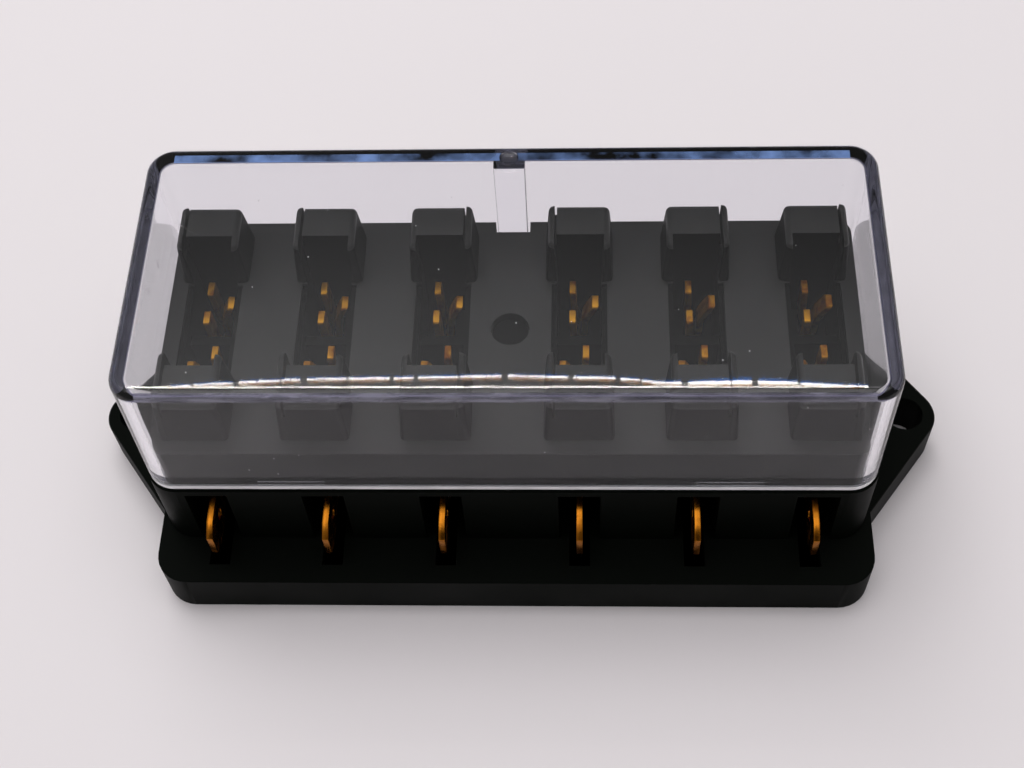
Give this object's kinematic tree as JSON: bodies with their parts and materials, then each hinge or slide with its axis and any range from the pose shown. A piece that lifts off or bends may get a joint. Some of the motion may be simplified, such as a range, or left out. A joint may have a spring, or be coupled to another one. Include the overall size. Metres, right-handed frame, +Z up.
{
  "type": "fuse holder",
  "caption": "Blade fuse box with a black moulded base, two mounting ears, a clear lift-off cover, fuse wells between towers and brass push-on tabs along both sides.",
  "frame": {"origin": "middle of the base at the surface it is screwed to", "axes": "+X along the row of fuses, +Y towards the side with the cover's key rib, +Z up and the way the cover lifts off"},
  "size_m": [0.1156, 0.0518, 0.0424],
  "materials": {
    "black_moulding": "fine satin moulding",
    "clear_moulding": "clear gloss with light handling marks",
    "stamped_brass": "bright stamped sheet"
  },
  "bodies": {
    "base": {"base_housing": "black_moulding", "terminal_front_1": "stamped_brass", "terminal_front_2": "stamped_brass", "terminal_front_3": "stamped_brass", "terminal_front_4": "stamped_brass", "terminal_front_5": "stamped_brass", "terminal_front_6": "stamped_brass", "terminal_back_1": "stamped_brass", "terminal_back_2": "stamped_brass", "terminal_back_3": "stamped_brass", "terminal_back_4": "stamped_brass", "terminal_back_5": "stamped_brass", "terminal_back_6": "stamped_brass"},
    "cover": {"clear_cover": "clear_moulding"}
  },
  "joints": [
    {"name": "cover_lift", "type": "slide", "parent": "base", "child": "cover", "axis": [0, 0, 1], "range_m": [0, 0.03]}
  ]
}
